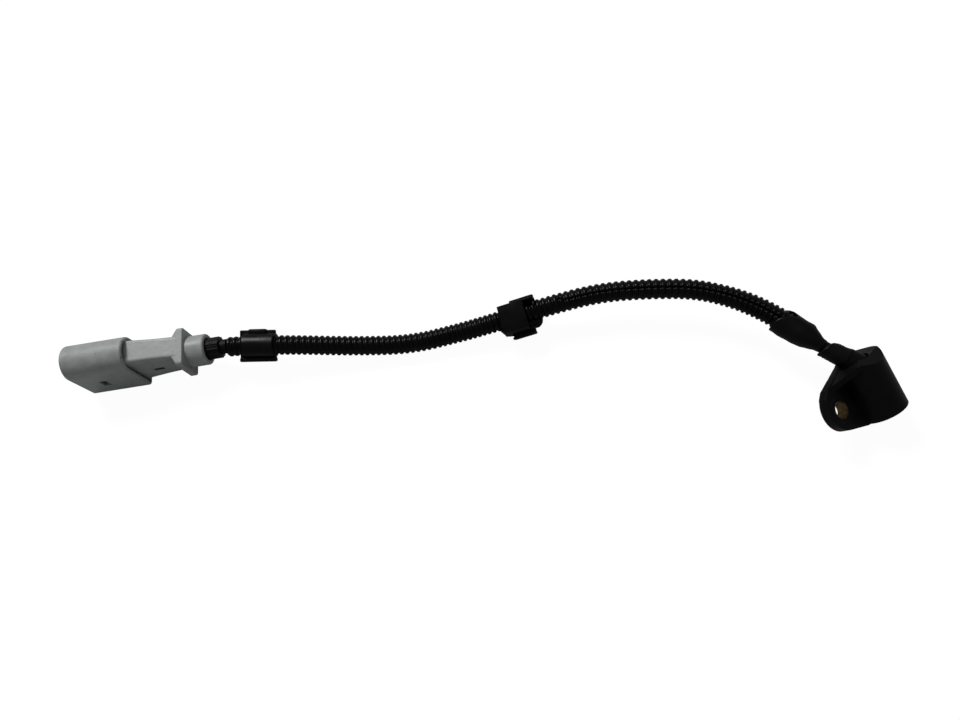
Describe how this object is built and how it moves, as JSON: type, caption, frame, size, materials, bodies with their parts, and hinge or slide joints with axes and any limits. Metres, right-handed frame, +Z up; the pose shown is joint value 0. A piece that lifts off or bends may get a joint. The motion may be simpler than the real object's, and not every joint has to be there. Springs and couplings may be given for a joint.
{
  "type": "camshaft position sensor",
  "caption": "Camshaft position sensor: half-round head with a bushed mounting ear, a short lead in corrugated conduit with clips, and a flat-pin plug.",
  "frame": {"origin": "on the table under the middle of the sensor head, its lead and plug left out", "axes": "+Z up from the table, +X along the plug from its mouth to its wires, so the head lies at the +X end"},
  "size_m": [0.3119, 0.0795, 0.0251],
  "materials": {
    "head_moulding": "moulded, satin black",
    "bush_brass": "turned",
    "carrier_plastic": "moulded",
    "chip_epoxy": "moulded",
    "magnet_metal": "plated",
    "lead_frame": "stamped",
    "grommet_rubber": "soft, matt",
    "cable_jacket": "soft, matt",
    "conduit_plastic": "corrugated, satin",
    "sleeve_plastic": "smooth",
    "clip_plastic": "moulded, satin",
    "core_insulation": "extruded",
    "plug_plastic": "moulded, light grey",
    "lock_plastic": "moulded",
    "pin_tin": "tin plated",
    "seal_rubber": "soft",
    "boot_rubber": "soft, matt"
  },
  "bodies": {
    "root": {"bias_magnet": "magnet_metal", "blade_pin_1": "pin_tin", "blade_pin_2": "pin_tin", "blade_pin_3": "pin_tin", "cable_grommet": "grommet_rubber", "chip_carrier": "carrier_plastic", "conduit": "conduit_plastic", "conduit_sleeve": "sleeve_plastic", "core_1": "core_insulation", "core_2": "core_insulation", "core_3": "core_insulation", "hall_chip": "chip_epoxy", "head_core_1": "core_insulation", "head_core_2": "core_insulation", "head_core_3": "core_insulation", "head_terminal_1": "lead_frame", "head_terminal_2": "lead_frame", "head_terminal_3": "lead_frame", "lead_cable": "cable_jacket", "lead_clip_1": "clip_plastic", "lead_clip_2": "clip_plastic", "mounting_bush": "bush_brass", "plug_housing": "plug_plastic", "seal_boot": "boot_rubber", "sensor_housing": "head_moulding", "terminal_lock": "lock_plastic", "wire_seal": "seal_rubber"}
  },
  "joints": []
}
